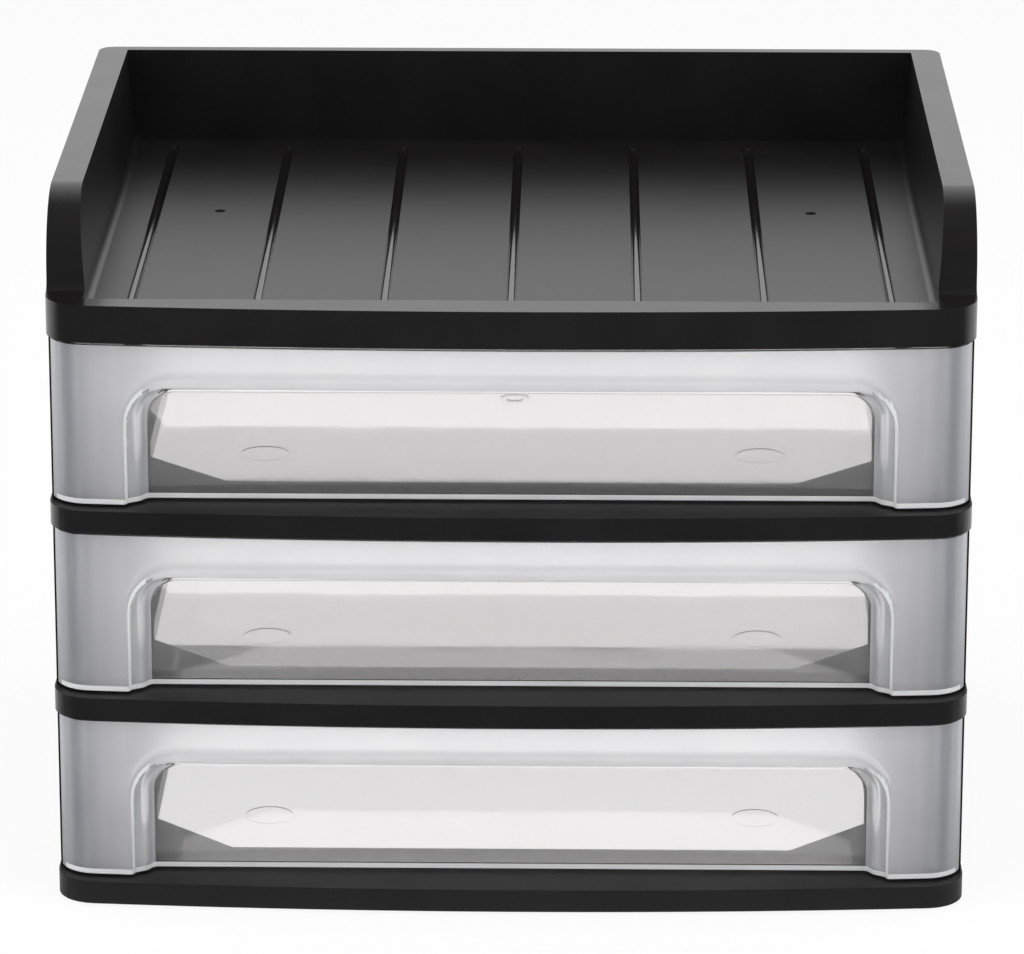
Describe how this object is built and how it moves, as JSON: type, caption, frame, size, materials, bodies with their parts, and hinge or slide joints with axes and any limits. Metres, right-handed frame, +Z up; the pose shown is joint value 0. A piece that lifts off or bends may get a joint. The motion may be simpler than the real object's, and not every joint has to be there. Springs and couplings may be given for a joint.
{
  "type": "letter tray stack with drawers",
  "caption": "Open letter tray over a stack of pull-out drawers with frosted bowed fronts and recessed clear finger pulls, in a black frame.",
  "frame": {"origin": "on the table under the middle of the unit", "axes": "+X to the right seen from the front, +Y to the back, +Z up"},
  "size_m": [0.36, 0.286, 0.2838],
  "materials": {
    "black_plastic": "satin moulded polystyrene",
    "clear_plastic": "moulded clear polystyrene, frosted outside, polished in the finger pull",
    "rubber_feet": "matt"
  },
  "bodies": {
    "case": {"top_tray": "black_plastic", "shelf_upper": "black_plastic", "shelf_lower": "black_plastic", "base_frame": "black_plastic", "side_left_top": "black_plastic", "side_left_middle": "black_plastic", "side_left_bottom": "black_plastic", "side_right_top": "black_plastic", "side_right_middle": "black_plastic", "side_right_bottom": "black_plastic", "back_frame_top": "black_plastic", "back_frame_middle": "black_plastic", "back_frame_bottom": "black_plastic", "foot_front_left": "rubber_feet", "foot_front_right": "rubber_feet", "foot_rear_left": "rubber_feet", "foot_rear_right": "rubber_feet"},
    "drawer_top": {"drawer_top": "clear_plastic"},
    "drawer_middle": {"drawer_middle": "clear_plastic"},
    "drawer_bottom": {"drawer_bottom": "clear_plastic"}
  },
  "joints": [
    {"name": "drawer_top_slide", "type": "slide", "parent": "case", "child": "drawer_top", "axis": [0, -1, 0], "range_m": [0, 0.19]},
    {"name": "drawer_middle_slide", "type": "slide", "parent": "case", "child": "drawer_middle", "axis": [0, -1, 0], "range_m": [0, 0.19]},
    {"name": "drawer_bottom_slide", "type": "slide", "parent": "case", "child": "drawer_bottom", "axis": [0, -1, 0], "range_m": [0, 0.19]}
  ]
}
